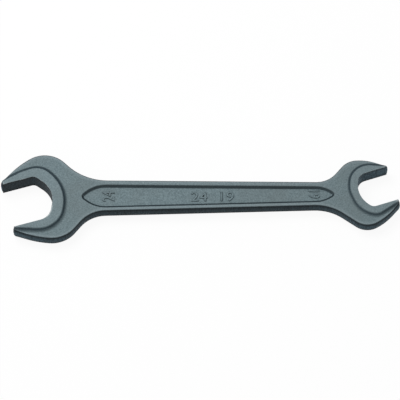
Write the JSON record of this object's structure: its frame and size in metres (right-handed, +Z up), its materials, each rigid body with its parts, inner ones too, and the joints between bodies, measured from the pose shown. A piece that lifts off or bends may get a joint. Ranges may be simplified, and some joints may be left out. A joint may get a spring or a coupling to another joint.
{
  "type": "open end wrench",
  "caption": "Open end wrench with an angled open jaw at each end of a flat tapering handle, raised crescents round the jaws and a sunk panel along each face.",
  "frame": {"origin": "on the surface that the wrench lies on, under the middle of its bounding box", "axes": "+X along the handle towards the small head, +Y across the handle towards the side of the large head's upper tip, +Z up through the thickness"},
  "size_m": [0.201, 0.0472, 0.01],
  "materials": {
    "forged_steel": "drop-forged steel with a dull blue-grey phosphate coat"
  },
  "bodies": {
    "root": {"wrench_forging": "forged_steel"}
  },
  "joints": []
}
